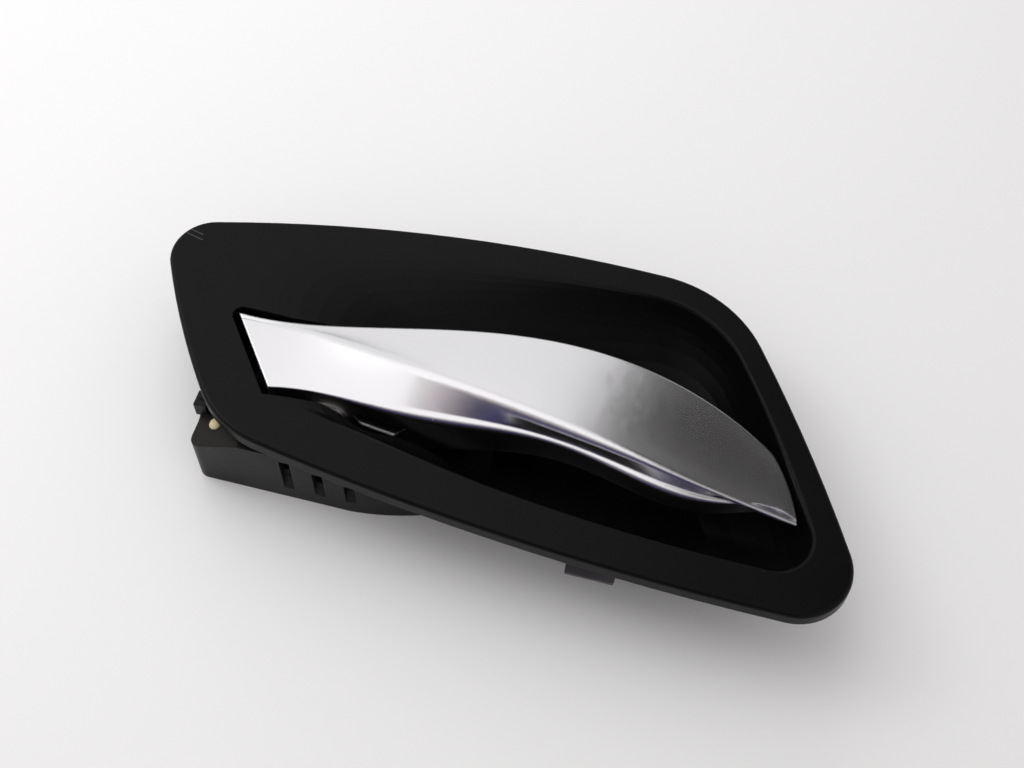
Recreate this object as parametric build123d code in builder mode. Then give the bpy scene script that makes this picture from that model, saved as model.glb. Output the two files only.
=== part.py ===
from build123d import *
import os
from math import cos, radians, sin, sqrt, tan

os.makedirs("parts", exist_ok=True)

# Pull handle of a left-hand car door, in millimetres. X runs along the handle to the lever's tip,
# Y points up on the fitted door and Z points out of the door. Z = 0 is the bezel's seat on the trim.

# Bezel: face plate, turned-down rim and finger bowl, moulded in one piece
flange_height = 4.2
face_wall = 2.2
rim_wall = 1.8
face_edge_radius = 1.2
bezel_corners = [(-100.5, 26.9), (-63.9, -30.8), (103.0, -44.3), (53.4, 43.0)]
bezel_bulges = [2.4, 4.9, 2.5, 7.4]
bezel_radii = [11.5, 30.0, 13.5, 36.0]

# Finger bowl: its mouth in the face, and its floor on the level of the housing's back
bowl_mouth = [(-72.0, 24.5), (-54.5, -18.5), (89.2, -34.0), (49.5, 36.0)]
bowl_mouth_bulges = [0.5, 5.0, 2.6, 4.8]
bowl_mouth_radii = [14.0, 4.0, 9.0, 32.0]
bowl_floor = [(0.0, 4.0), (4.0, -22.5), (66.0, -25.5), (46.0, 4.0)]
bowl_floor_bulges = [0.5, 1.5, 0.5, 1.0]
bowl_floor_radii = [8.0, 6.0, 7.0, 12.0]
bowl_bands = 12
bowl_edge_radius = 0.8
bowl_fade = 0.5
bowl_steepness = 2.2

# Pivot of the lever: a steel pin along Y, turning in a bush in each of the lever's eyes
pivot_x = -41.0
pivot_depth = 12.7
pin_radius = 2.0
pin_head_radius = 3.2
pin_head = 1.2
pin_end = 1.0
running_clearance = 0.04
bush_wall = 1.4
bush_flange = 1.0
bush_flange_radius = 4.6
press_clearance = 0.02
eye_wall = 2.0
eye_length = 4.5
low_eye_stand = 0.8
top_eye_stand = 1.3
ear_wall = 3.0
ear_thickness = 3.2
ear_foot = 16.0
side_play = 0.3
ring_thickness = 0.7
ring_rim = 1.6
groove_depth = 0.5

# Lever: guide curves as points (along Y, height from the face) at stations along X
lever_x = [-78.0, -56.0, pivot_x, -15.0, 10.0, 35.0, 60.0, 82.0]
top_edge = [
    (4.6, 0.0), (4.1, 0.0), (6.6, 0.1), (12.2, 0.6),
    (15.3, 1.0), (13.6, 0.7), (5.5, -0.9), (-9.5, -2.4),
]
crest = [
    (1.5, 0.1), (1.8, 0.3), (0.2, 1.8), (-4.8, 4.2),
    (-10.2, 5.7), (-15.0, 5.6), (-18.8, 2.8), (-20.9, -1.0),
]
lip = [
    (-17.6, 0.0), (-17.1, 0.0), (-15.1, -0.2), (-15.4, -0.6),
    (-14.0, 0.2), (-17.9, 1.2), (-20.8, 1.0), (-21.4, -1.8),
]
ledge = [0.3, 0.3, 0.5, 2.3, 1.5, 1.6, 1.2, 0.3]
back_edge = [-4.2, -7.5, -14.4, -15.4, -9.5, -6.5, -5.2, -4.8]
crest_radius = [6.0, 6.0, 5.0, 4.0, 3.0, 2.0, 0.8, 0.5]
lever_wall = 2.2
lever_edge_radius = 1.0
ledge_rise = 0.1
facet_hollow = 0.03
skirt_draft = 0.3
root_end = [(-71.3, 4.6), (-54.7, -17.1)]
root_corner_radius = 1.0
tip_arc = [(68.5, 1.5), (76.3, -8.9), (80.4, -20.0)]
tip_corner_radius = 1.2
plan_margin = 0.15
skirt_window = [(-33.9, -6.4), (-32.0, -10.8), (-23.0, -12.8), (-19.0, -6.9)]
skirt_window_radius = 0.6

# Opening for the lever in the bezel
root_gap = 2.0
lever_gap = 1.2
opening_end_x = -5.0
opening_radius = 2.5

# Carrier: closes the lever's finger side and holds the cable's nipple
carrier_wall = 2.4
carrier_fit = 0.2
carrier_start_x = -32.0
carrier_end_x = 56.0
hub_low_y = -3.0
hub_width = 4.5
hub_wall = 3.5
arm_length = 9.3
arm_lean = 1.5
nipple_radius = 2.6
nipple_wall = 1.5
cable_slot = 2.2
carrier_screw_places = [(-15.0, -1.0), (10.0, 0.5), (35.0, -1.5)]
carrier_slope_reach = 25.0
carrier_boss_radius = 3.0
carrier_screw_radius = 1.1
carrier_screw_length = 7.0
carrier_screw_hole = 7.5
carrier_head_radius = 2.3

# Return spring, wound round the pin between the lower eye and the hub
spring_wire = 1.1
spring_radius = 3.7
spring_pitch = 1.25
spring_turns = 5
spring_leg = 11.0
spring_gap = 0.3
spring_pad_length = 4.0
spring_pad_width = 2.6

# Housing behind the front end of the bezel
housing_depth = 23.0
housing_wall = 2.0
housing_top = -0.4
housing_side = [(-30.5, -32.0), (-17.0, -29.8), (-4.5, -25.2)]
housing_corners = [
    (-4.5, 22.0), (-34.0, 27.0), (-76.0, 21.0), (-77.5, 2.0),
    (-74.2, -14.0), (-73.0, -24.5), (-73.0, -32.0),
]
housing_corner_radius = 3.0
bowl_clearance = 0.4
nose_start_x = -56.0
nose_end_y = -20.5
nose_tip_z = -8.0
nose_slope = 20.4
back_window_middle = (-43.2, -0.5)
back_window_size = (28.5, 15.0)
back_window_radius = 2.5
slot_x = [-46.6, -38.1, -29.8]
slot_top = [-5.2, -7.8, -10.4]
slot_bottom = -18.3
slot_width = 2.8
slot_ramp = 3.8
hook_size = (3.4, 4.4, 4.8)
hook_centre = (-72.7, -20.2, -5.8)

# Bowden cable's seat in the housing, on the level of the nipple
sheath_radius = 3.1
cable_seat_x = -72.8
cable_seat_width = 12.5
cable_seat_top = -13.0
cable_seat_wall = 1.8
cable_seat_length = 2.5

# Screws that hold the housing to the bezel
screw_points = [(-62.0, 15.0), (-50.0, -26.0), (-22.0, 19.0)]
screw_radius = 1.5
screw_head_radius = 3.2
screw_head = 2.2
screw_length = 9.5
screw_hole = 5.5
screw_clearance = 0.05
recess_width = 0.9
recess_length = 3.4
recess_depth = 1.4
boss_wall = 2.1
boss_depth = 12.0
post_web = 5.0
post_wall = 1.5
head_clearance = 0.3

# Rubber stops, and the cream buffer on the nose
stop_radius = 3.5
stop_height = 3.0
stop_stem_radius = 1.5
stop_stem = 2.5
stop_gap = 0.3
stop_post_radius = 4.5
rest_stop = (-22.0, -3.0)
open_stop = (-62.3, -3.0)
open_stop_top = -12.5
nose_buffer_point = (-67.5, -25.2)
nose_buffer_radius = 1.7
nose_buffer_height = 1.4
nose_buffer_stem_radius = 0.9

# Edge of the door trim under the rim, with room left for it
trim_thickness = 2.5
trim_clearance = 0.3

# Spring clips pushed on to towers behind the rim, each with the direction it faces
clip_places = [(35.0, -39.3, -90.0), (0.0, 40.2, 92.0), (-86.1, 8.3, -147.6)]
clip_width = 12.0
clip_strip = 0.5
clip_fit = 0.1
clip_knee = 2.6
clip_knee_z = -5.8
clip_top_z = -1.2
clip_bend_radius = 0.6
tower_thickness = 2.0
tower_width = 9.0
tower_depth = 8.4

face_z = flange_height
plate_z = flange_height - face_wall
back_z = -housing_depth
base_z = back_z + housing_wall
pivot_z = face_z - pivot_depth
bowl_depth = face_z - back_z - face_wall
low_eye_y = lip[2][0] - low_eye_stand
top_eye_y = top_edge[2][0] + top_eye_stand
low_ear_y = low_eye_y - bush_flange - side_play
top_ear_y = top_eye_y + bush_flange + side_play
bush_bore = pin_radius + running_clearance
bush_radius = bush_bore + bush_wall
eye_bore = bush_radius + press_clearance
eye_radius = eye_bore + eye_wall
pin_bore = pin_radius + press_clearance
pin_length = top_ear_y - low_ear_y + 2 * ear_thickness
groove_radius = pin_radius - groove_depth
ear_radius = pin_bore + ear_wall
boss_radius = screw_radius + boss_wall
boss_end_z = -boss_depth
screw_seat_z = boss_end_z - post_web
head_bore = screw_head_radius + head_clearance
nipple_x = pivot_x - arm_lean
nipple_z = pivot_z - arm_length
hub_top_y = hub_low_y + hub_width
hub_middle_y = hub_low_y + hub_width / 2
spring_start_y = low_eye_y + eye_length + spring_gap + spring_wire / 2
spring_leg_x = spring_leg * 0.9
box_left = housing_corners[-1][0]
box_low = housing_corners[-1][1]
tower_side = tower_thickness / 2 + clip_fit
nose_depth = nose_end_y - box_low + housing_wall
trim_back_z = -trim_thickness - trim_clearance


def between(start, end, share):
    """Value or point part of the way from start to end."""
    if isinstance(start, tuple):
        return tuple(a + (b - a) * share for a, b in zip(start, end))
    return start + (end - start) * share


def at_station(x, values):
    """Value of one of the lever's guide curves at x, on the straight line between stations."""
    i = max(n for n in range(len(lever_x) - 1) if lever_x[n] <= x)
    return between(values[i], values[i + 1], (x - lever_x[i]) / (lever_x[i + 1] - lever_x[i]))


def side_plane(y):
    """Plane across the pivot at y, with X along its first axis and Z along its second."""
    return Plane.XZ.offset(-y)


def lever_plane(x):
    """Plane across the lever at x, with its origin in the bezel's face."""
    return Plane((x, 0, face_z), x_dir=(0, 1, 0), z_dir=(1, 0, 0))


def grown(corners, grow):
    """Corners of an outline with each side moved outwards by grow."""
    moved = []
    for before, corner, after in zip(corners[-1:] + corners[:-1], corners, corners[1:] + corners[:1]):
        first = (Vector(*corner) - Vector(*before)).normalized().rotate(Axis.Z, -90)
        second = (Vector(*after) - Vector(*corner)).normalized().rotate(Axis.Z, -90)
        point = Vector(*corner) + (first + second) * (grow / (1 + first.dot(second)))
        moved.append((point.X, point.Y))
    return moved


def rounded_quad(plane, corners, bulges, radii, grow=0.0):
    """Outline of four outward arcs with rounded corners, moved outwards by grow."""
    corners = grown(corners, grow)
    with BuildSketch(plane) as outline:
        with BuildLine():
            for start, end, bulge in zip(corners, corners[1:] + corners[:1], bulges):
                SagittaArc(start, end, -bulge)
        make_face()
        for corner, radius in zip(corners, radii):
            fillet(outline.vertices().sort_by_distance(corner)[0], radius + grow)
    return outline.sketch


def bowl_sections(grow, edge_radius=0.0):
    """Outlines of the bowl from mouth to floor, moved outwards and downwards by grow."""
    sections = []
    for band in range(bowl_bands + 1):
        level = (band / bowl_bands) ** 2
        rise = max(edge_radius - level * bowl_depth, 0)
        flare = edge_radius - sqrt(edge_radius**2 - rise**2)
        front, rear = level**bowl_fade, level**bowl_steepness
        shares = [front, front, rear, rear]
        corners = [between(m, f, s) for m, f, s in zip(bowl_mouth, bowl_floor, shares)]
        bulges = [between(m, f, level) for m, f in zip(bowl_mouth_bulges, bowl_floor_bulges)]
        radii = [between(m, f, level) for m, f in zip(bowl_mouth_radii, bowl_floor_radii)]
        plane = Plane.XY.offset(face_z - level * bowl_depth - grow)
        sections.append(rounded_quad(plane, corners, bulges, radii, grow + flare))
    return sections


def lever_section(i):
    """Outer section of the lever: hollow upper facet, crest, lower facet, ledge and skirts."""
    top, ridge, edge = top_edge[i], crest[i], lip[i]
    foot = (edge[0] + ledge[i], edge[1] + ledge_rise)
    back_low = (edge[0] + skirt_draft, back_edge[i])
    back_top = (top[0] - skirt_draft, back_edge[i])
    with BuildSketch(lever_plane(lever_x[i])) as section:
        with BuildLine():
            SagittaArc(top, ridge, facet_hollow * (top[0] - ridge[0]))
            Polyline(ridge, foot, edge, back_low, back_top, top)
        make_face()
        fillet(section.vertices().sort_by_distance(ridge)[0], crest_radius[i])
        fillet(section.vertices().sort_by_distance(top)[0], lever_edge_radius)
        fillet(section.vertices().sort_by_distance(edge)[0], 0.8 * ledge[i])
    return section.sketch


def hollow_section(i):
    """Section of the lever's hollow, one wall inside its outer section and open at the back."""
    top, ridge, edge = top_edge[i], crest[i], lip[i]
    inner_edge = edge[0] + lever_wall
    inner_top = top[0] - lever_wall
    inner_ridge = min(max(ridge[0], inner_edge + skirt_draft), inner_top - skirt_draft)
    open_z = back_edge[i] - lever_wall
    with BuildSketch(lever_plane(lever_x[i])) as section:
        with BuildLine():
            Polyline(
                (inner_top, top[1] - lever_wall),
                (inner_ridge, ridge[1] - lever_wall),
                (inner_edge, edge[1] - lever_wall),
                (inner_edge + skirt_draft, open_z),
                (inner_top - skirt_draft, open_z),
                close=True,
            )
        make_face()
    return section.sketch


def carrier_section(i):
    """Section of the plate that closes the lever's hollow at its back edge."""
    side = lever_wall + skirt_draft + carrier_fit
    with BuildSketch(lever_plane(lever_x[i])) as section:
        with BuildLine():
            Polyline(
                (lip[i][0] + side, back_edge[i]),
                (top_edge[i][0] - side, back_edge[i]),
                (top_edge[i][0] - side, back_edge[i] + carrier_wall),
                (lip[i][0] + side, back_edge[i] + carrier_wall),
                close=True,
            )
        make_face()
    return section.sketch


def root_plane(inset):
    """Plane of the lever's slanted root end, facing the tip and moved towards it by inset."""
    along = (Vector(*root_end[1]) - Vector(*root_end[0])).normalized()
    inward = along.rotate(Axis.Z, 90)
    return Plane(Vector(*root_end[0]) + inward * inset, x_dir=(0, 0, 1), z_dir=inward)


def back_plane(x, y):
    """Plane on the lever's back at x, facing into the lever."""
    reach = carrier_slope_reach
    slope = (at_station(x + reach, back_edge) - at_station(x - reach, back_edge)) / (2 * reach)
    back = face_z + at_station(x, back_edge)
    return Plane((x, y, back), x_dir=(1, 0, slope), z_dir=(-slope, 0, 1))


def clip_plane(x, y, facing):
    """Plane under the bezel's plate at one clip, with its first axis along the way the clip faces."""
    return Plane((x, y, plate_z), x_dir=(cos(radians(facing)), sin(radians(facing)), 0))


def nose_z(x):
    """Height of the housing's sloping nose at x."""
    return nose_tip_z + (x - box_left) * tan(radians(nose_slope))


def nose_section(drop):
    """Side view of the space above the housing's sloping nose, moved down and inwards by drop."""
    with BuildSketch(side_plane(nose_end_y + drop)) as section:
        with BuildLine():
            Polyline(
                (nose_start_x + drop, nose_z(nose_start_x + drop) - drop),
                (nose_start_x + drop, face_z),
                (box_left - housing_wall, face_z),
                (box_left - housing_wall, nose_z(box_left - housing_wall) - drop),
                close=True,
            )
        make_face()
    return section.sketch


def housing_outline():
    """Plan of the housing: straight sides with rounded corners, and a curved low side."""
    with BuildSketch() as outline:
        with BuildLine():
            side = ThreePointArc(*housing_side)
            FilletPolyline(side @ 1, *housing_corners, side @ 0, radius=housing_corner_radius)
        make_face()
    return outline.sketch


def half_profile(plane, *points):
    """Half section of a turned piece from (radius, height) points along the plane's normal."""
    with BuildSketch(Plane(plane.origin, x_dir=plane.x_dir, z_dir=-plane.y_dir)) as profile:
        with BuildLine():
            Polyline(*points, close=True)
        make_face()
    return profile.sketch


def dome_profile(plane, radius, height, stem_radius, stem):
    """Half section of a domed buffer that stands on the plane with its stem through it."""
    side = height / 3
    with BuildSketch(Plane(plane.origin, x_dir=plane.x_dir, z_dir=-plane.y_dir)) as profile:
        with BuildLine():
            TangentArc((0, height), (radius, side), tangent=(1, 0))
            Polyline(
                (0, height), (0, -stem), (stem_radius, -stem), (stem_radius, 0), (radius, 0), (radius, side)
            )
        make_face()
    return profile.sketch


# Bezel: plate and rim, then the bowl's back with bosses and clip towers, then the bowl and the opening
with BuildPart() as bezel:
    extrude(rounded_quad(Plane.XY, bezel_corners, bezel_bulges, bezel_radii), amount=flange_height)
    fillet(bezel.faces().sort_by(Axis.Z)[-1].edges(), face_edge_radius)
    rim_inside = rounded_quad(Plane.XY, bezel_corners, bezel_bulges, bezel_radii, -rim_wall)
    extrude(rim_inside, amount=plate_z, mode=Mode.SUBTRACT)
    bowl_back = bowl_sections(face_wall)
    extrude(bowl_back[0], amount=face_wall / 2)
    loft(bowl_back, ruled=True)
    with BuildSketch(Plane.XY.offset(boss_end_z)):
        with Locations(*screw_points):
            Circle(boss_radius)
    extrude(amount=boss_depth + plate_z)
    for x, y, facing in clip_places:
        with BuildSketch(clip_plane(x, y, facing)):
            Rectangle(tower_thickness, tower_width)
        extrude(amount=-plate_z - tower_depth)
    loft(bowl_sections(0, bowl_edge_radius), ruled=True, mode=Mode.SUBTRACT)
    with BuildSketch(Plane.XY.offset(boss_end_z)):
        with Locations(*screw_points):
            Circle(screw_radius + screw_clearance)
    extrude(amount=screw_hole, mode=Mode.SUBTRACT)
    with BuildSketch(Plane.XY.offset(back_z)) as opening:
        gap_end = root_plane(-root_gap).origin
        gap_along = root_plane(0).y_dir
        root_length = (Vector(*root_end[1]) - Vector(*root_end[0])).length
        with BuildLine():
            upper_left = gap_end - gap_along * (lever_gap + root_gap / 2)
            lower_left = gap_end + gap_along * (root_length + root_gap / 2)
            Polyline(
                (upper_left.X, upper_left.Y),
                (lower_left.X, lower_left.Y),
                (pivot_x, lip[2][0] - root_gap),
                (opening_end_x, at_station(opening_end_x, lip)[0] - root_gap),
                (opening_end_x, at_station(opening_end_x, top_edge)[0] + lever_gap),
                (pivot_x, top_edge[2][0] + lever_gap),
                (lever_x[1], top_edge[1][0] + lever_gap),
                close=True,
            )
        make_face()
        fillet(opening.vertices().sort_by_distance(upper_left)[0], opening_radius)
    extrude(amount=face_z - back_z + 1, mode=Mode.SUBTRACT)
bezel.part.label = "bezel"
export_step(bezel.part, "parts/bezel.step")

# Lever: its whole outer form, its hollow and the carrier's plate, which the two mouldings share
with BuildPart() as lever_body:
    loft([lever_section(i) for i in range(len(lever_x))])
    with BuildSketch() as root_cut:
        root_side = (lever_x[1], root_end[0][1] + plan_margin)
        root_foot = between(*root_end, 1.2)
        with BuildLine():
            Polyline(
                root_foot,
                root_end[0],
                root_side,
                (root_side[0], root_side[1] + housing_depth),
                (lever_x[0] - lever_wall, root_side[1] + housing_depth),
                (lever_x[0] - lever_wall, root_foot[1]),
                close=True,
            )
        make_face()
        fillet(root_cut.vertices().sort_by_distance(root_end[0])[0], root_corner_radius)
    extrude(amount=housing_depth, both=True, mode=Mode.SUBTRACT)
    with BuildSketch() as tip_cut:
        tip_corner = (tip_arc[2][0], at_station(tip_arc[2][0], lip)[0] - plan_margin)
        tip_side = (tip_arc[0][0], at_station(tip_arc[0][0], lip)[0] - 2 * plan_margin)
        beyond_x = lever_x[-1] + lever_wall
        with BuildLine():
            ThreePointArc(*tip_arc)
            Polyline(
                tip_arc[2],
                tip_corner,
                tip_side,
                (tip_side[0], tip_side[1] - housing_depth),
                (beyond_x, tip_side[1] - housing_depth),
                (beyond_x, tip_arc[0][1]),
                tip_arc[0],
            )
        make_face()
        fillet(tip_cut.vertices().sort_by_distance(tip_corner)[0], tip_corner_radius)
    extrude(amount=housing_depth, both=True, mode=Mode.SUBTRACT)

with BuildPart() as lever_hollow:
    loft([hollow_section(i) for i in range(len(lever_x) - 1)], ruled=True)
    split(bisect_by=root_plane(lever_wall), keep=Keep.TOP)

with BuildPart() as carrier_plate:
    loft([carrier_section(i) for i in range(2, len(lever_x) - 1)], ruled=True)
    split(bisect_by=Plane.YZ.offset(carrier_start_x), keep=Keep.TOP)
    split(bisect_by=Plane.YZ.offset(carrier_end_x), keep=Keep.BOTTOM)
    add(lever_body.part, mode=Mode.INTERSECT)

with BuildPart() as carrier_bosses:
    for x, y in carrier_screw_places:
        with BuildSketch(back_plane(x, y)):
            Circle(carrier_boss_radius)
        extrude(amount=housing_depth)
    add(lever_body.part, mode=Mode.INTERSECT)
    add(carrier_plate.part, mode=Mode.SUBTRACT)

# Lever shell: silver moulding with the two eyes in its skirts
with BuildPart() as lever_shell:
    add(lever_body.part)
    add(lever_hollow.part, mode=Mode.SUBTRACT)
    add([boss for boss in carrier_bosses.part.solids() if boss.bounding_box().max.Z > 0])
    for eye_y in (low_eye_y + eye_length, top_eye_y):
        with BuildSketch(side_plane(eye_y)):
            with Locations((pivot_x, pivot_z)):
                Circle(eye_radius)
        extrude(amount=eye_length)
        with BuildSketch(side_plane(eye_y)):
            with Locations((pivot_x, pivot_z)):
                Circle(eye_bore)
        extrude(amount=eye_length, mode=Mode.SUBTRACT)
    with BuildSketch(side_plane(lip[2][0] + lever_wall * 3)):
        with BuildLine():
            window = [(x, face_z + z) for x, z in skirt_window]
            FilletPolyline(*window, radius=skirt_window_radius, close=True)
        make_face()
    extrude(amount=lever_wall * 4, mode=Mode.SUBTRACT)
    for x, y in carrier_screw_places:
        with BuildSketch(back_plane(x, y)):
            Circle(carrier_screw_radius + screw_clearance)
        extrude(amount=carrier_screw_hole, mode=Mode.SUBTRACT)
lever_shell.part.label = "lever_shell"
export_step(lever_shell.part, "parts/lever_shell.step")

# Carrier: black plate in the lever's back, with the pivot hub and the arm that pulls the cable
with BuildPart() as lever_carrier:
    add(carrier_plate.part)
    plate_middle_z = face_z + at_station(carrier_start_x, back_edge) + carrier_wall / 2
    hub_ends = [
        (carrier_start_x + carrier_wall, plate_middle_z, carrier_wall / 2),
        (nipple_x, nipple_z, nipple_radius + nipple_wall),
    ]
    for end_x, end_z, end_radius in hub_ends:
        with BuildSketch(side_plane(hub_top_y)):
            with Locations((pivot_x, pivot_z)):
                Circle(pin_radius + hub_wall)
            with Locations((end_x, end_z)):
                Circle(end_radius)
            make_hull()
        extrude(amount=hub_width)
    with BuildSketch(side_plane(hub_low_y)):
        with Locations((pivot_x + spring_leg_x, pivot_z + spring_radius - spring_wire / 2)):
            Rectangle(
                spring_pad_length,
                pivot_z + spring_radius - spring_wire / 2 - plate_middle_z,
                align=(Align.CENTER, Align.MAX),
            )
    extrude(amount=spring_pad_width)
    with BuildSketch(side_plane(hub_top_y)):
        with Locations((pivot_x, pivot_z)):
            Circle(bush_bore)
        with Locations((nipple_x, nipple_z)):
            Circle(nipple_radius)
    extrude(amount=hub_width, mode=Mode.SUBTRACT)
    with BuildSketch(Plane.YZ.offset(nipple_x)):
        with Locations((hub_middle_y, nipple_z)):
            Rectangle(cable_slot, cable_slot)
    extrude(amount=-arm_length, mode=Mode.SUBTRACT)
    for x, y in carrier_screw_places:
        with Locations(-back_plane(x, y)):
            CounterSinkHole(carrier_screw_radius + screw_clearance, carrier_head_radius, carrier_wall * 2)
lever_carrier.part.label = "lever_carrier"
export_step(lever_carrier.part, "parts/lever_carrier.step")

# Countersunk screws of the carrier, flush with its back
with BuildPart() as carrier_screws:
    for x, y in carrier_screw_places:
        seat = back_plane(x, y)
        half_screw = half_profile(
            seat,
            (0, 0),
            (carrier_head_radius, 0),
            (carrier_screw_radius, carrier_head_radius - carrier_screw_radius),
            (carrier_screw_radius, carrier_screw_length),
            (0, carrier_screw_length),
        )
        revolve(half_screw, axis=Axis(seat.origin, seat.z_dir))
carrier_screws.part.label = "carrier_screws"
export_step(carrier_screws.part, "parts/carrier_screws.step")

# Flanged bushes pressed into the eyes, with their flanges towards the housing's ears
bush_points = [
    (bush_bore, -bush_flange),
    (bush_flange_radius, -bush_flange),
    (bush_flange_radius, 0),
    (bush_radius, 0),
    (bush_radius, eye_length),
    (bush_bore, eye_length),
]
pivot_axis = Axis((pivot_x, 0, pivot_z), (0, 1, 0))

with BuildPart() as lower_bush:
    lower_seat = Plane((pivot_x, low_eye_y, pivot_z), x_dir=(1, 0, 0), z_dir=(0, 1, 0))
    revolve(half_profile(lower_seat, *bush_points), axis=pivot_axis)
lower_bush.part.label = "lower_bush"
export_step(lower_bush.part, "parts/lower_bush.step")

with BuildPart() as upper_bush:
    upper_seat = Plane((pivot_x, top_eye_y, pivot_z), x_dir=(1, 0, 0), z_dir=(0, -1, 0))
    revolve(half_profile(upper_seat, *bush_points), axis=pivot_axis)
upper_bush.part.label = "upper_bush"
export_step(upper_bush.part, "parts/upper_bush.step")

# Pivot pin with its head on the upper ear and a groove for the retaining ring below the lower ear
with BuildPart() as pivot_pin:
    head_seat = Plane((pivot_x, top_ear_y + ear_thickness, pivot_z), x_dir=(1, 0, 0), z_dir=(0, -1, 0))
    half_pin = half_profile(
        head_seat,
        (0, -pin_head),
        (pin_head_radius, -pin_head),
        (pin_head_radius, 0),
        (pin_radius, 0),
        (pin_radius, pin_length),
        (groove_radius, pin_length),
        (groove_radius, pin_length + ring_thickness),
        (pin_radius, pin_length + ring_thickness),
        (pin_radius, pin_length + ring_thickness + pin_end),
        (0, pin_length + ring_thickness + pin_end),
    )
    revolve(half_pin, axis=pivot_axis)
pivot_pin.part.label = "pivot_pin"
export_step(pivot_pin.part, "parts/pivot_pin.step")

# Retaining ring, open on one side so that it is pushed on across the pin
with BuildPart() as retaining_ring:
    with BuildSketch(side_plane(low_ear_y - ear_thickness)):
        with Locations((pivot_x, pivot_z)):
            Circle(pin_radius + ring_rim)
            Circle(groove_radius + press_clearance, mode=Mode.SUBTRACT)
            Rectangle(
                2 * groove_radius * 0.9,
                pin_radius + 2 * ring_rim,
                align=(Align.CENTER, Align.MAX),
                mode=Mode.SUBTRACT,
            )
    extrude(amount=ring_thickness)
retaining_ring.part.label = "retaining_ring"
export_step(retaining_ring.part, "parts/retaining_ring.step")

# Return spring: coils round the pin, one leg on the carrier's pad and one on the housing's post
with BuildPart() as return_spring:
    with BuildLine() as wire:
        coil = Helix(
            pitch=spring_pitch,
            height=spring_pitch * spring_turns,
            radius=spring_radius,
            center=(pivot_x, spring_start_y, pivot_z),
            direction=(0, 1, 0),
        )
        Line(coil @ 0 - (coil % 0) * spring_leg, coil @ 0)
        Line(coil @ 1, coil @ 1 + (coil % 1) * spring_leg)
    with BuildSketch(wire.wires()[0] ^ 0):
        Circle(spring_wire / 2)
    sweep(path=wire.wires()[0])
return_spring.part.label = "return_spring"
export_step(return_spring.part, "parts/return_spring.step")

# Housing: open box with a sloping nose, pivot ears, screw posts, cable seat and stop posts
rest_stop_z = face_z + at_station(rest_stop[0], back_edge) - stop_gap - stop_height
open_stop_z = open_stop_top - stop_height
nose_seat = Plane(
    (nose_buffer_point[0], nose_buffer_point[1], nose_z(nose_buffer_point[0])),
    x_dir=(cos(radians(nose_slope)), 0, sin(radians(nose_slope))),
    z_dir=(-sin(radians(nose_slope)), 0, cos(radians(nose_slope))),
)

with BuildPart() as housing_space:
    with BuildSketch(Plane.XY.offset(base_z)):
        add(housing_outline())
        offset(amount=-housing_wall, kind=Kind.INTERSECTION)
    extrude(amount=housing_top - base_z)
    extrude(nose_section(housing_wall), amount=nose_depth + housing_wall, mode=Mode.SUBTRACT)

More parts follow.
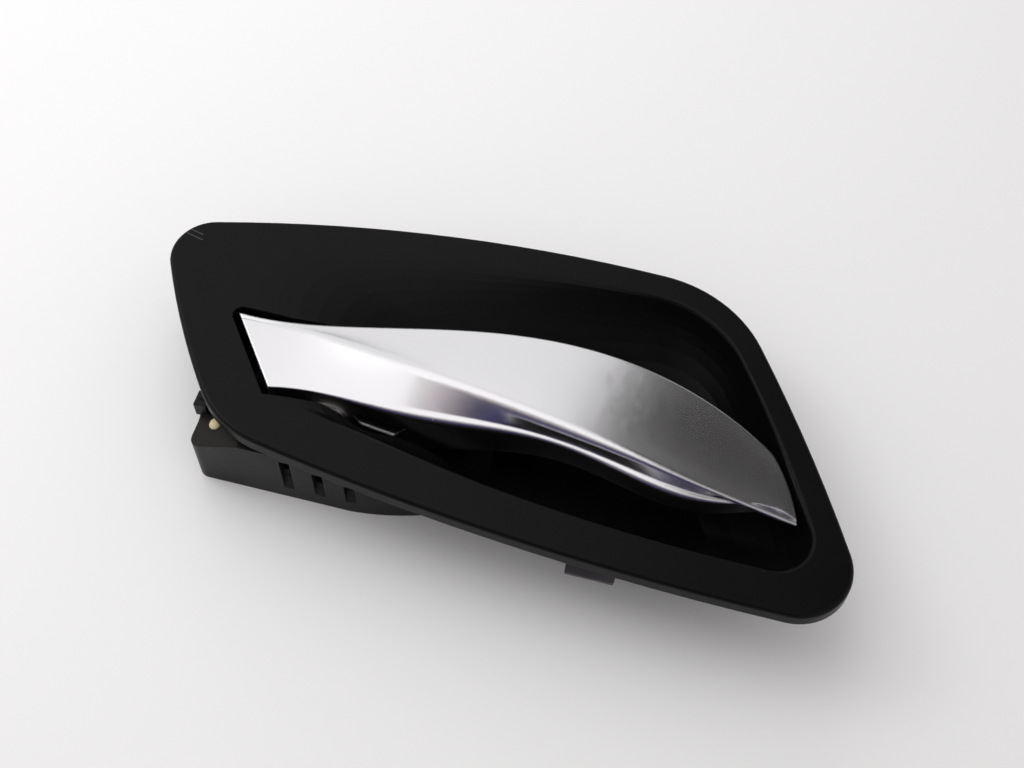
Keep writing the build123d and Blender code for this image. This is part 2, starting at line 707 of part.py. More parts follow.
with BuildPart() as housing:
    with BuildSketch(Plane.XY.offset(back_z)):
        add(housing_outline())
    extrude(amount=housing_top - back_z)
    extrude(nose_section(0), amount=nose_depth, mode=Mode.SUBTRACT)
    add(housing_space.part, mode=Mode.SUBTRACT)
    with Locations(hook_centre):
        Box(*hook_size)
    for ear_y in (low_ear_y, top_ear_y + ear_thickness):
        with BuildSketch(side_plane(ear_y)):
            with Locations((pivot_x, pivot_z)):
                Circle(ear_radius)
            with Locations((pivot_x, base_z)):
                Rectangle(ear_foot, housing_wall)
            make_hull()
            with Locations((pivot_x, pivot_z)):
                Circle(pin_bore, mode=Mode.SUBTRACT)
        extrude(amount=ear_thickness)
    with BuildSketch(Plane.XY.offset(back_z)):
        with Locations(*screw_points):
            Circle(head_bore + post_wall)
    extrude(amount=boss_end_z - back_z)
    with BuildSketch(Plane.XY.offset(back_z)):
        with Locations(*screw_points):
            Circle(head_bore)
    extrude(amount=screw_seat_z - back_z, mode=Mode.SUBTRACT)
    with BuildSketch(Plane.XY.offset(screw_seat_z)):
        with Locations(*screw_points):
            Circle(screw_radius + head_clearance)
    extrude(amount=post_web, mode=Mode.SUBTRACT)
    for (x, y), seat_z in ((rest_stop, rest_stop_z), (open_stop, open_stop_z)):
        with BuildSketch(Plane.XY.offset(seat_z)):
            with Locations((x, y)):
                Circle(stop_post_radius)
        extrude(amount=back_z - seat_z)
        with BuildSketch(Plane.XY.offset(seat_z)):
            with Locations((x, y)):
                Circle(stop_stem_radius + press_clearance)
        extrude(amount=-stop_stem - stop_gap, mode=Mode.SUBTRACT)
    with BuildSketch(Plane.XY.offset(base_z)):
        with Locations((pivot_x - spring_leg_x, spring_start_y)):
            Rectangle(spring_pad_length, 2 * spring_wire)
    extrude(amount=pivot_z + spring_radius - spring_wire / 2 - base_z)
    with BuildSketch(nose_seat):
        Circle(nose_buffer_stem_radius + press_clearance)
    extrude(amount=-housing_wall * 2, mode=Mode.SUBTRACT)
    with BuildSketch(Plane.XY.offset(back_z)):
        with Locations(back_window_middle):
            RectangleRounded(*back_window_size, back_window_radius)
    extrude(amount=housing_wall, mode=Mode.SUBTRACT)
    for x, top_z in zip(slot_x, slot_top):
        with BuildSketch(Plane.YZ.offset(x - slot_width / 2)):
            with BuildLine():
                Polyline(
                    (box_low, slot_bottom),
                    (box_low + housing_wall, slot_bottom + slot_ramp),
                    (box_low + housing_wall, top_z),
                    (box_low, top_z),
                    close=True,
                )
            make_face()
        extrude(amount=slot_width, mode=Mode.SUBTRACT)
    with BuildSketch(Plane.YZ.offset(cable_seat_x)):
        with Locations((hub_middle_y, back_z)):
            Rectangle(cable_seat_width, cable_seat_top - back_z, align=(Align.CENTER, Align.MIN))
    extrude(amount=-cable_seat_length)
    with BuildSketch(Plane.YZ.offset(cable_seat_x - cable_seat_wall)):
        with Locations((hub_middle_y, nipple_z)):
            Circle(sheath_radius)
            Rectangle(2 * sheath_radius, nipple_z - back_z, align=(Align.CENTER, Align.MAX))
    extrude(amount=-housing_wall * 3, mode=Mode.SUBTRACT)
    with BuildSketch(Plane.YZ.offset(cable_seat_x)):
        with Locations((hub_middle_y, nipple_z + cable_slot / 2)):
            Rectangle(cable_slot, nipple_z + cable_slot / 2 - back_z, align=(Align.CENTER, Align.MAX))
    extrude(amount=-cable_seat_wall, mode=Mode.SUBTRACT)
    loft(bowl_sections(face_wall + bowl_clearance), ruled=True, mode=Mode.SUBTRACT)
    with BuildSketch(Plane.XY.offset(trim_back_z)):
        add(housing_outline())
        trim_room = rim_wall + trim_clearance
        trim_edge = rounded_quad(Plane.XY, bezel_corners, bezel_bulges, bezel_radii, -trim_room)
        add(trim_edge, mode=Mode.SUBTRACT)
    extrude(amount=-trim_back_z, mode=Mode.SUBTRACT)
housing.part.label = "housing"
export_step(housing.part, "parts/housing.step")

# Pan-head screws from the back through the housing's posts into the bezel's bosses
with BuildPart() as housing_screws:
    for x, y in screw_points:
        seat = Plane((x, y, screw_seat_z))
        half_screw = half_profile(
            seat,
            (0, -screw_head),
            (screw_head_radius * 0.75, -screw_head),
            (screw_head_radius, -screw_head / 2),
            (screw_head_radius, 0),
            (screw_radius, 0),
            (screw_radius, screw_length),
            (0, screw_length),
        )
        revolve(half_screw, axis=Axis(seat.origin, seat.z_dir))
    with BuildSketch(Plane.XY.offset(screw_seat_z - screw_head)):
        with Locations(*screw_points):
            Rectangle(recess_length, recess_width)
            Rectangle(recess_width, recess_length)
    extrude(amount=recess_depth, mode=Mode.SUBTRACT)
housing_screws.part.label = "housing_screws"
export_step(housing_screws.part, "parts/housing_screws.step")

# Rubber stops of the lever's two end positions, and the buffer on the nose
with BuildPart() as rest_buffer:
    seat = Plane((rest_stop[0], rest_stop[1], rest_stop_z))
    half_buffer = dome_profile(seat, stop_radius, stop_height, stop_stem_radius, stop_stem)
    revolve(half_buffer, axis=Axis(seat.origin, seat.z_dir))
rest_buffer.part.label = "rest_buffer"
export_step(rest_buffer.part, "parts/rest_buffer.step")

with BuildPart() as open_buffer:
    seat = Plane((open_stop[0], open_stop[1], open_stop_z))
    half_buffer = dome_profile(seat, stop_radius, stop_height, stop_stem_radius, stop_stem)
    revolve(half_buffer, axis=Axis(seat.origin, seat.z_dir))
open_buffer.part.label = "open_buffer"
export_step(open_buffer.part, "parts/open_buffer.step")

with BuildPart() as nose_buffer:
    half_buffer = dome_profile(
        nose_seat, nose_buffer_radius, nose_buffer_height, nose_buffer_stem_radius, housing_wall
    )
    revolve(half_buffer, axis=Axis(nose_seat.origin, nose_seat.z_dir))
nose_buffer.part.label = "nose_buffer"
export_step(nose_buffer.part, "parts/nose_buffer.step")

# Spring clips of bent strip, pushed over the bezel's towers from behind
with BuildPart() as panel_clips:
    for x, y, facing in clip_places:
        tower = clip_plane(x, y, facing)
        with BuildSketch(Plane((x, y, 0), x_dir=tower.x_dir, z_dir=-tower.y_dir)):
            with BuildLine() as strip:
                middle = tower_side + clip_strip / 2
                end_z = -tower_depth - clip_fit - clip_strip / 2
                FilletPolyline(
                    (middle, clip_top_z),
                    (middle, trim_back_z),
                    (tower_side + clip_knee, clip_knee_z),
                    (middle, end_z),
                    (-middle, end_z),
                    (-middle, clip_top_z),
                    radius=clip_bend_radius,
                )
            trace(line_width=clip_strip)
        extrude(amount=clip_width / 2, both=True)
panel_clips.part.label = "panel_clips"
export_step(panel_clips.part, "parts/panel_clips.step")
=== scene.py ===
from math import cos, pi

import bpy
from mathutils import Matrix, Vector


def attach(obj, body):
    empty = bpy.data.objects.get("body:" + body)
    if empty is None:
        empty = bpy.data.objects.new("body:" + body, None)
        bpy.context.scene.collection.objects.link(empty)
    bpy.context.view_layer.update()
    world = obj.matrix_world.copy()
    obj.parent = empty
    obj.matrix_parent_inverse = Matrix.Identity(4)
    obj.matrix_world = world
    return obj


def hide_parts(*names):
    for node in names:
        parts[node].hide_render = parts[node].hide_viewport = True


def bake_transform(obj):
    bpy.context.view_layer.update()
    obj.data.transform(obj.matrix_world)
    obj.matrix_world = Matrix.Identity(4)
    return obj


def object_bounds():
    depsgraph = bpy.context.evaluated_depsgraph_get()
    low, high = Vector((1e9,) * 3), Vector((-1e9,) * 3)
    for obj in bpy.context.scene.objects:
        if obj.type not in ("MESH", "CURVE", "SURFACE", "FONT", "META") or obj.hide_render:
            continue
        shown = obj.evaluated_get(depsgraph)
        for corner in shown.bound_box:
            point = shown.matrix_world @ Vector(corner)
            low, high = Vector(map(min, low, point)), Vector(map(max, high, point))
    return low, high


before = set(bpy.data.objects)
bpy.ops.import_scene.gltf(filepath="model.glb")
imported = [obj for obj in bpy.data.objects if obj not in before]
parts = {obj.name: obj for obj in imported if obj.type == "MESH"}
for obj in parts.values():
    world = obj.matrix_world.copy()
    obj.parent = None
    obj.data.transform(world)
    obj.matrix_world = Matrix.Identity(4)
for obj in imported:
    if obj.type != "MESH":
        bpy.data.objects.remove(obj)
cad_box = [list(corner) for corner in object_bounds()]

# Bezel: the black face plate, its turned-down rim and the finger bowl, injection moulded in one
# piece of filled polypropylene with a fine spark-eroded grain. Its clips press it on to the door trim.
# The end wall of its bowl draws back in front of the window in the lever's skirt.
bezel_marks = [
    ((-0.0936, 0.0246, 0.0042), (-0.0885, 0.0233, 0.0042)),
    ((-0.0924, 0.0259, 0.0042), (-0.0891, 0.0251, 0.0042)),
]
bezel_mark_width = 0.00028
bezel_mark_colour = (0.06, 0.06, 0.058)
recess_middle = -0.029
recess_reach = 0.011
recess_depth = 0.0028
recess_lip = (-0.0177, -0.0160)
recess_ends = (-0.0235, -0.0150)
pit_share = 0.7
patch_rate = 35.0
speck_rate = 260.0
speck_limits = (0.055, 0.02)
noise_middle = (0.3, 0.7)
edge_samples = 6
grain_strength = 0.6
polish_change = 0.06


def drawn_back(point):
    """How far the bowl's end wall draws back at a point, most at its lip and the recess's middle."""
    along = (point.x - recess_middle) / recess_reach
    front = (point.y - recess_ends[0]) / (recess_lip[0] - recess_ends[0])
    back = (recess_ends[1] - point.y) / (recess_ends[1] - recess_lip[1])
    share = min(front, back, 1.0)
    if abs(along) >= 1 or share <= 0:
        return 0.0
    return recess_depth * share * cos(along * pi / 2) ** 2


def effect_group(name, inputs, outputs):
    """Empty shader node group with the given inputs and float outputs, and its two end nodes."""
    tree = bpy.data.node_groups.new(name, "ShaderNodeTree")
    for label, kind, value in inputs:
        socket = tree.interface.new_socket(label, in_out="INPUT", socket_type=kind)
        socket.default_value = value
    for label in outputs:
        tree.interface.new_socket(label, in_out="OUTPUT", socket_type="NodeSocketFloat")
    return tree, tree.nodes.new("NodeGroupInput"), tree.nodes.new("NodeGroupOutput")


def joined(tree, kind, settings, *links):
    """New node of one kind in a tree, with its settings and with its inputs linked or set in turn."""
    node = tree.nodes.new(kind)
    for name, value in settings.items():
        setattr(node, name, value)
    for socket, value in links:
        if isinstance(value, bpy.types.NodeSocket):
            tree.links.new(value, node.inputs[socket])
        else:
            node.inputs[socket].default_value = value
    return node


def moulded_grain_group():
    """Height of a fine spark-eroded grain, slow changes of gloss from the mould's polish, and dust."""
    tree, ends, out = effect_group(
        "moulded_grain", [("Size", "NodeSocketFloat", 0.0005)], ["Height", "Patches", "Specks"]
    )
    place = tree.nodes.new("ShaderNodeTexCoord").outputs["Object"]
    rate = joined(tree, "ShaderNodeMath", {"operation": "DIVIDE"}, (0, 1.0), (1, ends.outputs["Size"]))
    pits = joined(
        tree, "ShaderNodeTexVoronoi", {"feature": "SMOOTH_F1"}, ("Vector", place), ("Scale", rate.outputs[0])
    )
    ripple = joined(
        tree, "ShaderNodeTexNoise", {}, ("Vector", place), ("Scale", rate.outputs[0]), ("Detail", 3.0)
    )
    height = joined(
        tree, "ShaderNodeMath", {"operation": "MULTIPLY_ADD"},
        (0, pits.outputs["Distance"]), (1, pit_share), (2, ripple.outputs["Fac"]),
    )
    patches = joined(
        tree, "ShaderNodeTexNoise", {}, ("Vector", place), ("Scale", patch_rate), ("Detail", 4.0)
    )
    dots = joined(tree, "ShaderNodeTexVoronoi", {}, ("Vector", place), ("Scale", speck_rate))
    specks = joined(
        tree, "ShaderNodeMapRange", {"interpolation_type": "SMOOTHSTEP"},
        ("Value", dots.outputs["Distance"]), ("From Min", speck_limits[0]), ("From Max", speck_limits[1]),
    )
    tree.links.new(height.outputs[0], out.inputs["Height"])
    tree.links.new(patches.outputs["Fac"], out.inputs["Patches"])
    tree.links.new(specks.outputs["Result"], out.inputs["Specks"])
    return tree


def scratch_group():
    """Mask of one straight scratch between two points of the object."""
    tree, ends, out = effect_group(
        "scratch",
        [
            ("Start", "NodeSocketVector", (0, 0, 0)),
            ("End", "NodeSocketVector", (0, 0, 0)),
            ("Width", "NodeSocketFloat", 0.0002),
        ],
        ["Mask"],
    )
    start = ends.outputs["Start"]
    end = ends.outputs["End"]
    place = tree.nodes.new("ShaderNodeTexCoord").outputs["Object"]
    run = joined(tree, "ShaderNodeVectorMath", {"operation": "SUBTRACT"}, (0, end), (1, start))
    here = joined(tree, "ShaderNodeVectorMath", {"operation": "SUBTRACT"}, (0, place), (1, start))
    ahead, back = run.outputs[0], here.outputs[0]
    along = joined(tree, "ShaderNodeVectorMath", {"operation": "DOT_PRODUCT"}, (0, back), (1, ahead))
    square = joined(tree, "ShaderNodeVectorMath", {"operation": "DOT_PRODUCT"}, (0, ahead), (1, ahead))
    share = joined(
        tree, "ShaderNodeMath", {"operation": "DIVIDE", "use_clamp": True},
        (0, along.outputs["Value"]), (1, square.outputs["Value"]),
    )
    foot = joined(
        tree, "ShaderNodeVectorMath", {"operation": "SCALE"}, (0, ahead), ("Scale", share.outputs[0])
    )
    gap = joined(tree, "ShaderNodeVectorMath", {"operation": "DISTANCE"}, (0, back), (1, foot.outputs[0]))
    mask = joined(
        tree, "ShaderNodeMapRange", {"interpolation_type": "SMOOTHSTEP"},
        ("Value", gap.outputs["Value"]), ("From Min", ends.outputs["Width"]), ("From Max", 0.0),
    )
    tree.links.new(mask.outputs["Result"], out.inputs["Mask"])
    return tree


def plain_material(name, colour, roughness):
    """Material with one Principled shader at the given colour and roughness."""
    material = bpy.data.materials.new(name)
    material.use_nodes = True
    shader = shader_of(material)
    shader.inputs["Base Color"].default_value = (*colour, 1)
    shader.inputs["Roughness"].default_value = roughness
    return material


def shader_of(material):
    """Principled shader of a material."""
    return material.node_tree.nodes["Principled BSDF"]


def fed(material, socket, source):
    """Links a node's output to one socket of a material's shader."""
    material.node_tree.links.new(source, shader_of(material).inputs[socket])


def fed_by(material, socket):
    """Output that feeds one socket of a material's shader."""
    return shader_of(material).inputs[socket].links[0].from_socket


def blend(tree, share, first, second):
    """Colour that goes from first to second with share; first is a colour or another node's colour."""
    first = first if isinstance(first, bpy.types.NodeSocket) else (*first, 1)
    mix = joined(
        tree, "ShaderNodeMix", {"data_type": "RGBA"}, ("Factor", share), ("A", first), ("B", (*second, 1))
    )
    return mix.outputs["Result"]


def spread(tree, value, low, high):
    """Value between low and high that follows the middle part of a noise."""
    scaled = joined(
        tree, "ShaderNodeMapRange", {},
        ("Value", value), ("From Min", noise_middle[0]), ("From Max", noise_middle[1]),
        ("To Min", low), ("To Max", high),
    )
    return scaled.outputs["Result"]


def scratches(tree, marks, width):
    """Mask of several straight scratches, each given by its two ends."""
    mask = 0.0
    for start, end in marks:
        line = joined(
            tree, "ShaderNodeGroup", {"node_tree": scratch}, ("Start", start), ("End", end), ("Width", width)
        )
        larger = joined(
            tree, "ShaderNodeMath", {"operation": "MAXIMUM"}, (0, mask), (1, line.outputs["Mask"])
        )
        mask = larger.outputs[0]
    return mask


def scratched(material, marks, width, colour):
    """Draws scratches of one colour over a material's own colour, and gives their mask."""
    mask = scratches(material.node_tree, marks, width)
    fed(material, "Base Color", blend(material.node_tree, mask, fed_by(material, "Base Color"), colour))
    return mask


def moulded_plastic(name, colour, gloss, shine, grain_size, grain_depth, dust, edge):
    """Grained moulded plastic with softened edges, slow changes of gloss and a few specks of dust."""
    material = plain_material(name, colour, gloss)
    tree = material.node_tree
    shader_of(material).inputs["Specular IOR Level"].default_value = shine
    soft_edge = joined(tree, "ShaderNodeBevel", {"samples": edge_samples}, ("Radius", edge))
    grain = joined(tree, "ShaderNodeGroup", {"node_tree": moulded_grain}, ("Size", grain_size))
    bump = joined(
        tree, "ShaderNodeBump", {},
        ("Height", grain.outputs["Height"]), ("Distance", grain_depth), ("Strength", grain_strength),
        ("Normal", soft_edge.outputs["Normal"]),
    )
    rough = spread(tree, grain.outputs["Patches"], gloss - polish_change, gloss + polish_change)
    fed(material, "Roughness", rough)
    fed(material, "Base Color", blend(tree, grain.outputs["Specks"], colour, dust))
    fed(material, "Normal", bump.outputs["Normal"])
    return material


def copied(node, name):
    """New piece with a copy of a CAD piece's mesh."""
    piece = bpy.data.objects.new(name, parts[node].data.copy())
    bpy.context.scene.collection.objects.link(piece)
    return piece


def dressed(piece, material):
    """Gives a piece its one material."""
    piece.data.materials.clear()
    piece.data.materials.append(material)


moulded_grain = moulded_grain_group()
scratch = scratch_group()
bezel_black = moulded_plastic(
    "bezel_black", colour=(0.0028, 0.0028, 0.0028), gloss=0.36, shine=0.11,
    grain_size=0.0004, grain_depth=0.00003, dust=(0.02, 0.02, 0.019), edge=0.0003,
)
scratched(bezel_black, bezel_marks, bezel_mark_width, bezel_mark_colour)
bezel_skin = copied("bezel", "bezel_skin")
for vertex in bezel_skin.data.vertices:
    vertex.co.y -= drawn_back(vertex.co)
dressed(bezel_skin, bezel_black)
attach(bezel_skin, "base")
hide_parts("bezel")

# Lever shell: the silver pull, moulded in ABS and plated with satin chrome. It turns on the pivot pin
# in two eyes, and fingers reach behind its twisted face.
silver_edge = 0.0007
window_rim = ((-0.0320, -0.0153, -0.0066), (-0.0230, -0.0153, -0.0086))
window_rim_width = 0.0016
window_rim_edge = 0.0018
silver_marks = [
    ((-0.0128, -0.0147, 0.0047), (-0.0119, -0.0147, 0.0026)),
    ((-0.0067, -0.0038, 0.0072), (-0.0043, -0.0078, 0.0078)),
]
silver_mark_width = 0.00022
silver_mark_colour = (0.80, 0.79, 0.78)
silver_mark_gloss = 0.7
smudge_rate = 55.0
line_rate = 2500.0
line_strength = 0.5
wear_to_gloss = 1 / 8


def handling_group():
    """Smudges that fingers leave on a polished face, and the fine lines of its finish."""
    tree, ends, out = effect_group(
        "handling", [("Stretch", "NodeSocketVector", (1, 1, 1))], ["Smudges", "Lines"]
    )
    place = tree.nodes.new("ShaderNodeTexCoord").outputs["Object"]
    smudges = joined(
        tree, "ShaderNodeTexNoise", {},
        ("Vector", place), ("Scale", smudge_rate), ("Detail", 3.0), ("Roughness", 0.5), ("Distortion", 0.2),
    )
    drawn = joined(
        tree, "ShaderNodeVectorMath", {"operation": "MULTIPLY"}, (0, place), (1, ends.outputs["Stretch"])
    )
    lines = joined(
        tree, "ShaderNodeTexNoise", {}, ("Vector", drawn.outputs[0]), ("Scale", line_rate), ("Detail", 2.0)
    )
    tree.links.new(smudges.outputs["Fac"], out.inputs["Smudges"])
    tree.links.new(lines.outputs["Fac"], out.inputs["Lines"])
    return tree


def polished_metal(name, colour, worn, wear, gloss, stretch, line_depth, edge):
    """Plated or bare metal with softened edges, lines of its finish along one way, and duller smudges."""
    material = plain_material(name, colour, gloss)
    tree = material.node_tree
    shader_of(material).inputs["Metallic"].default_value = 1.0
    soft_edge = joined(tree, "ShaderNodeBevel", {"samples": edge_samples}, ("Radius", edge))
    marks = joined(tree, "ShaderNodeGroup", {"node_tree": handling}, ("Stretch", stretch))
    bump = joined(
        tree, "ShaderNodeBump", {},
        ("Height", marks.outputs["Lines"]), ("Distance", line_depth), ("Strength", line_strength),
        ("Normal", soft_edge.outputs["Normal"]),
    )
    dull = spread(tree, marks.outputs["Smudges"], 0.0, wear)
    change = wear * wear_to_gloss
    fed(material, "Roughness", spread(tree, marks.outputs["Smudges"], gloss - change, gloss + change))
    fed(material, "Base Color", blend(tree, dull, colour, worn))
    fed(material, "Normal", bump.outputs["Normal"])
    return material


handling = handling_group()
satin_silver = polished_metal(
    "satin_silver", colour=(0.74, 0.73, 0.75), worn=(0.58, 0.57, 0.58), wear=0.04, gloss=0.23,
    stretch=(0.04, 1, 1), line_depth=0.000002, edge=silver_edge,
)
silver_tree = satin_silver.node_tree
rim_share = scratches(silver_tree, [window_rim], window_rim_width)
rim_round = joined(
    silver_tree, "ShaderNodeMapRange", {},
    ("Value", rim_share), ("To Min", silver_edge), ("To Max", window_rim_edge),
)
silver_tree.links.new(rim_round.outputs["Result"], silver_tree.nodes["Bevel"].inputs["Radius"])
silver_scratched = scratched(satin_silver, silver_marks, silver_mark_width, silver_mark_colour)
silver_torn = joined(
    silver_tree, "ShaderNodeMath", {"operation": "MULTIPLY"}, (0, silver_scratched), (1, silver_mark_gloss)
)
silver_rough = joined(
    silver_tree, "ShaderNodeMath", {"operation": "MAXIMUM"},
    (0, fed_by(satin_silver, "Roughness")), (1, silver_torn.outputs[0]),
)
fed(satin_silver, "Roughness", silver_rough.outputs[0])
dressed(parts["lever_shell"], satin_silver)

# Carrier: the black plate that closes the lever's back, with the hub on the pin and the arm for the
# cable's nipple. A glass-filled nylon moulding with a plain surface, screwed into the shell.
carrier_black = moulded_plastic(
    "carrier_black", colour=(0.009, 0.009, 0.0092), gloss=0.42, shine=0.3,
    grain_size=0.0012, grain_depth=0.00003, dust=(0.04, 0.04, 0.038), edge=0.0003,
)
dressed(parts["lever_carrier"], carrier_black)

# Carrier screws: three countersunk screws of zinc-plated steel, which hold the carrier in the shell.
# Their heads are turned, so fine rings run round them.
zinc_turned = polished_metal(
    "zinc_turned", colour=(0.56, 0.56, 0.59), worn=(0.42, 0.38, 0.30), wear=0.4, gloss=0.36,
    stretch=(0.1, 0.1, 1), line_depth=0.00001, edge=0.0002,
)
dressed(parts["carrier_screws"], zinc_turned)

# Bushes: two flanged sleeves of natural acetal, pressed into the lever's eyes from outside.
# They keep the pin from wearing the plated shell, and grease darkens them a little.
bush_colour = (0.66, 0.63, 0.55)
bush_gloss = 0.42
bush_grain_size = 0.0008
bush_grain_depth = 0.00002
grease_colour = (0.40, 0.35, 0.25)
grease_share = 0.6
grease_gloss = (0.48, 0.28)
bush_natural = plain_material("bush_natural", bush_colour, bush_gloss)
bush_tree = bush_natural.node_tree
bush_grain = joined(
    bush_tree, "ShaderNodeGroup", {"node_tree": moulded_grain}, ("Size", bush_grain_size)
)
bush_patches = bush_grain.outputs["Patches"]
bush_grease = spread(bush_tree, bush_patches, 0.0, grease_share)
bush_bump = joined(
    bush_tree, "ShaderNodeBump", {},
    ("Height", bush_grain.outputs["Height"]), ("Distance", bush_grain_depth),
)
fed(bush_natural, "Base Color", blend(bush_tree, bush_grease, bush_colour, grease_colour))
fed(bush_natural, "Roughness", spread(bush_tree, bush_patches, *grease_gloss))
fed(bush_natural, "Normal", bush_bump.outputs["Normal"])
dressed(parts["lower_bush"], bush_natural)
dressed(parts["upper_bush"], bush_natural)

# Housing: the box behind the bezel's front end that carries the pivot, the stops and the cable's sheath.
# A brownish black nylon moulding, smooth and a little shiny, with dust from inside the door.
housing_black = moulded_plastic(
    "housing_black", colour=(0.0100, 0.0092, 0.0086), gloss=0.42, shine=0.16,
    grain_size=0.0010, grain_depth=0.00003, dust=(0.09, 0.085, 0.075), edge=0.0004,
)
dressed(parts["housing"], housing_black)

# Pivot pin: a ground steel pin with a flat head, pushed through the housing's ears and the bushes.
# Grinding leaves fine rings round it.
pin_steel = polished_metal(
    "pin_steel", colour=(0.60, 0.60, 0.61), worn=(0.36, 0.33, 0.29), wear=0.4, gloss=0.24,
    stretch=(0.1, 1, 0.1), line_depth=0.000006, edge=0.0002,
)
dressed(parts["pivot_pin"], pin_steel)

# Retaining ring: stamped from spring steel, phosphated dark and pushed into the pin's groove.
# It has rubbed a little brighter in patches.
ring_dark = polished_metal(
    "ring_dark", colour=(0.16, 0.155, 0.15), worn=(0.36, 0.35, 0.34), wear=0.5, gloss=0.42,
    stretch=(1, 1, 1), line_depth=0.000012, edge=0.0001,
)
dressed(parts["retaining_ring"], ring_dark)

# Return spring: hard-drawn steel wire wound in five turns round the pin, bright from the drawing die and
# darkened in patches by oil. One leg stays on the housing's post and the other goes with the lever, so
# the coil twists.
spring_wire = polished_metal(
    "spring_wire", colour=(0.47, 0.46, 0.45), worn=(0.22, 0.20, 0.17), wear=0.6, gloss=0.30,
    stretch=(1, 0.3, 1), line_depth=0.000006, edge=0.0001,
)
spring_coil = copied("return_spring", "spring_coil")
dressed(spring_coil, spring_wire)
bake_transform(spring_coil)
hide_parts("return_spring")

# Stops: two domed buffers of black rubber with their stems pressed into posts in the housing.
# The lever's carrier rests on one and the lever's root comes down on the other.
rubber_grain_size = 0.0003
rubber_grain_depth = 0.00004
bloom_share = 0.6
bloom_gloss = (-0.05, 0.08)


def soft_rubber(name, colour, bloom, gloss):
    """Rubber or soft plastic with a fine matt grain, and a bloom of another colour in patches."""
    material = plain_material(name, colour, gloss)
    tree = material.node_tree
    grain = joined(tree, "ShaderNodeGroup", {"node_tree": moulded_grain}, ("Size", rubber_grain_size))
    patches = grain.outputs["Patches"]
    bump = joined(
        tree, "ShaderNodeBump", {}, ("Height", grain.outputs["Height"]), ("Distance", rubber_grain_depth)
    )
    changed = spread(tree, patches, 0.0, bloom_share)
    fed(material, "Base Color", blend(tree, changed, colour, bloom))
    fed(material, "Roughness", spread(tree, patches, gloss + bloom_gloss[0], gloss + bloom_gloss[1]))
    fed(material, "Normal", bump.outputs["Normal"])
    return material


stop_rubber = soft_rubber(
    "stop_rubber", colour=(0.013, 0.013, 0.013), bloom=(0.035, 0.034, 0.032), gloss=0.72
)
dressed(parts["rest_buffer"], stop_rubber)
dressed(parts["open_buffer"], stop_rubber)

# Nose buffer: a small cream dome of soft plastic with its stem pressed into the housing's sloping nose.
# It bears on the back of the trim and has darkened with age.
nose_cream = soft_rubber("nose_cream", colour=(0.74, 0.66, 0.40), bloom=(0.50, 0.40, 0.22), gloss=0.5)
dressed(parts["nose_buffer"], nose_cream)

# Housing screws: three pan-head screws of zinc-plated steel with cross recesses, driven from the back
# through the housing's posts into the bezel's bosses.
dressed(parts["housing_screws"], zinc_turned)

# Panel clips: three clips bent from spring steel strip and blackened, pushed over the bezel's towers.
# Their knees snap behind the edge of the door trim, and use has scuffed them.
clip_black = polished_metal(
    "clip_black", colour=(0.055, 0.054, 0.056), worn=(0.20, 0.19, 0.18), wear=0.5, gloss=0.40,
    stretch=(1, 1, 0.1), line_depth=0.00001, edge=0.0002,
)
dressed(parts["panel_clips"], clip_black)

# Table: a plain pale board that the handle lies on, on its back.
# It is much larger than the picture.
table_size = 3.0
table_colour = (0.86, 0.86, 0.865)
table_gloss = 0.6
bpy.ops.mesh.primitive_plane_add(size=table_size, location=(0, 0, cad_box[0][2]))
table = bpy.context.object
table.name = "table"
dressed(table, plain_material("table_white", table_colour, table_gloss))

# Light: a wide ceiling panel to the upper left, a smaller one from the left, and the room that the silver
# lever shows. From behind the handle to its front the room goes through pale and dark bands, which give
# way to an even pale tone at its far left and far right.
panel_size = (0.88, 1.7)
panel_place = (-0.41, 0.65, 0.55)
panel_power = 4.6
side_size = (0.35, 0.35)
side_place = (-0.70, 0.12, 0.70)
side_power = 1.0
wall_tones = [
    (0.0, (0.50, 0.49, 0.48)),
    (0.04, (0.35, 0.345, 0.34)),
    (0.07, (0.06, 0.059, 0.057)),
    (0.12, (0.020, 0.019, 0.018)),
    (0.2, (0.020, 0.019, 0.018)),
    (0.31, (0.24, 0.235, 0.23)),
    (0.5, (0.26, 0.255, 0.25)),
    (0.62, (0.26, 0.255, 0.25)),
    (0.68, (0.86, 0.84, 0.84)),
    (0.757, (0.64, 0.59, 0.60)),
    (0.81, (0.42, 0.37, 0.40)),
    (0.87, (0.20, 0.18, 0.22)),
    (0.91, (0.06, 0.056, 0.095)),
    (0.965, (0.05, 0.046, 0.15)),
    (1.0, (0.012, 0.012, 0.02)),
]
left_tone = (0.60, 0.60, 0.56)
left_limits = (-0.42, -0.70)
right_tone = (0.62, 0.62, 0.63)
right_limits = (0.34, 0.60)
fill_tone = (0.65, 0.635, 0.63)
white_tone = (1, 1, 1)


def soft_panel(name, place, aim, size, power):
    """Rectangular lamp at a place, turned towards a point."""
    lamp = bpy.data.lights.new(name, "AREA")
    lamp.shape = "RECTANGLE"
    lamp.size, lamp.size_y = size
    lamp.energy = power
    holder = bpy.data.objects.new(name, lamp)
    holder.location = place
    holder.rotation_euler = (Vector(aim) - Vector(place)).to_track_quat("-Z", "Y").to_euler()
    bpy.context.scene.collection.objects.link(holder)


def room_side(tone, limits, side_tone):
    """Tone of the room that goes over to a side's own tone between two limits along X."""
    share = joined(
        room_tree, "ShaderNodeMapRange", {"interpolation_type": "SMOOTHSTEP"},
        ("Value", facing.outputs["X"]), ("From Min", limits[0]), ("From Max", limits[1]),
    )
    return blend(room_tree, share.outputs["Result"], tone, side_tone)


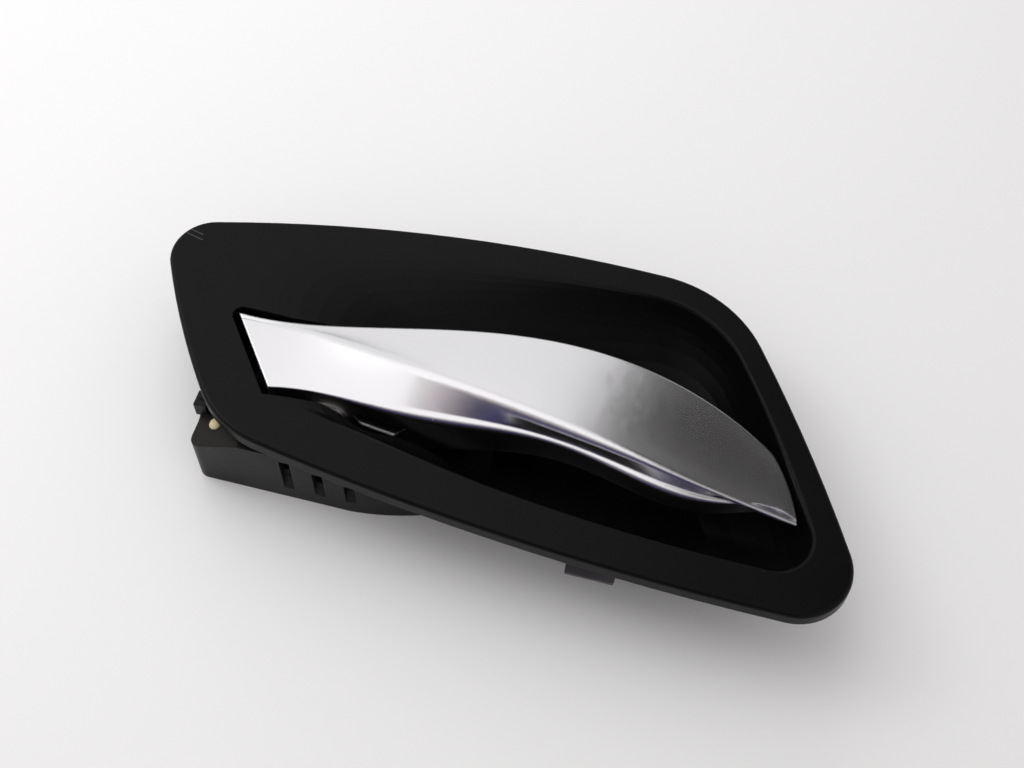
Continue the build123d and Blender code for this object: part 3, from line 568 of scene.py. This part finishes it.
soft_panel("ceiling_panel", panel_place, (panel_place[0], panel_place[1], 0), panel_size, panel_power)
soft_panel("side_panel", side_place, (0, 0, 0), side_size, side_power)
room = bpy.data.worlds.new("room")
room.use_nodes = True
room_tree = room.node_tree
room_tree.nodes.clear()
direction = room_tree.nodes.new("ShaderNodeTexCoord").outputs["Generated"]
facing = joined(room_tree, "ShaderNodeSeparateXYZ", {}, (0, direction))
forward = joined(
    room_tree, "ShaderNodeMapRange", {},
    ("Value", facing.outputs["Y"]), ("From Min", 1.0), ("From Max", -1.0),
)
walls = joined(room_tree, "ShaderNodeValToRGB", {}, (0, forward.outputs["Result"]))
ramp = walls.color_ramp.elements
for place, tone in wall_tones[1:-1]:
    ramp.new(place)
for stop, (place, tone) in zip(ramp, wall_tones):
    stop.position = place
    stop.color = (*tone, 1)
walls_and_left = room_side(walls.outputs["Color"], left_limits, left_tone)
room_tone = room_side(walls_and_left, right_limits, right_tone)
shown = joined(room_tree, "ShaderNodeBackground", {}, ("Color", room_tone))
fill = joined(room_tree, "ShaderNodeBackground", {}, ("Color", (*fill_tone, 1)))
white = joined(room_tree, "ShaderNodeBackground", {}, ("Color", (*white_tone, 1)))
path = room_tree.nodes.new("ShaderNodeLightPath")
lit = joined(
    room_tree, "ShaderNodeMixShader", {},
    (0, path.outputs["Is Glossy Ray"]), (1, fill.outputs[0]), (2, shown.outputs[0]),
)
seen = joined(
    room_tree, "ShaderNodeMixShader", {},
    (0, path.outputs["Is Camera Ray"]), (1, lit.outputs[0]), (2, white.outputs[0]),
)
joined(room_tree, "ShaderNodeOutputWorld", {}, ("Surface", seen.outputs[0]))
bpy.context.scene.world = room
bpy.context.scene.view_settings.view_transform = "Standard"

# Camera: the photograph's, about 0.37 m away and 57 degrees above the table.
# Its focal length follows from the photograph's width of 1024 pixels.
photo_width = 1024
photo_focal_pixels = 1455
photo_target = Vector((0.0045, 0.0, 0.0042))
photo_place = Vector((0.0564, -0.1938, 0.3132))
camera = bpy.data.cameras.new("photo_camera")
camera.sensor_width = 36.0
camera.lens = camera.sensor_width * photo_focal_pixels / photo_width
camera.clip_start = 0.01
viewer = bpy.data.objects.new("photo_camera", camera)
viewer.location = photo_place
viewer.rotation_euler = (photo_target - photo_place).to_track_quat("-Z", "Y").to_euler()
bpy.context.scene.collection.objects.link(viewer)
bpy.context.scene.camera = viewer
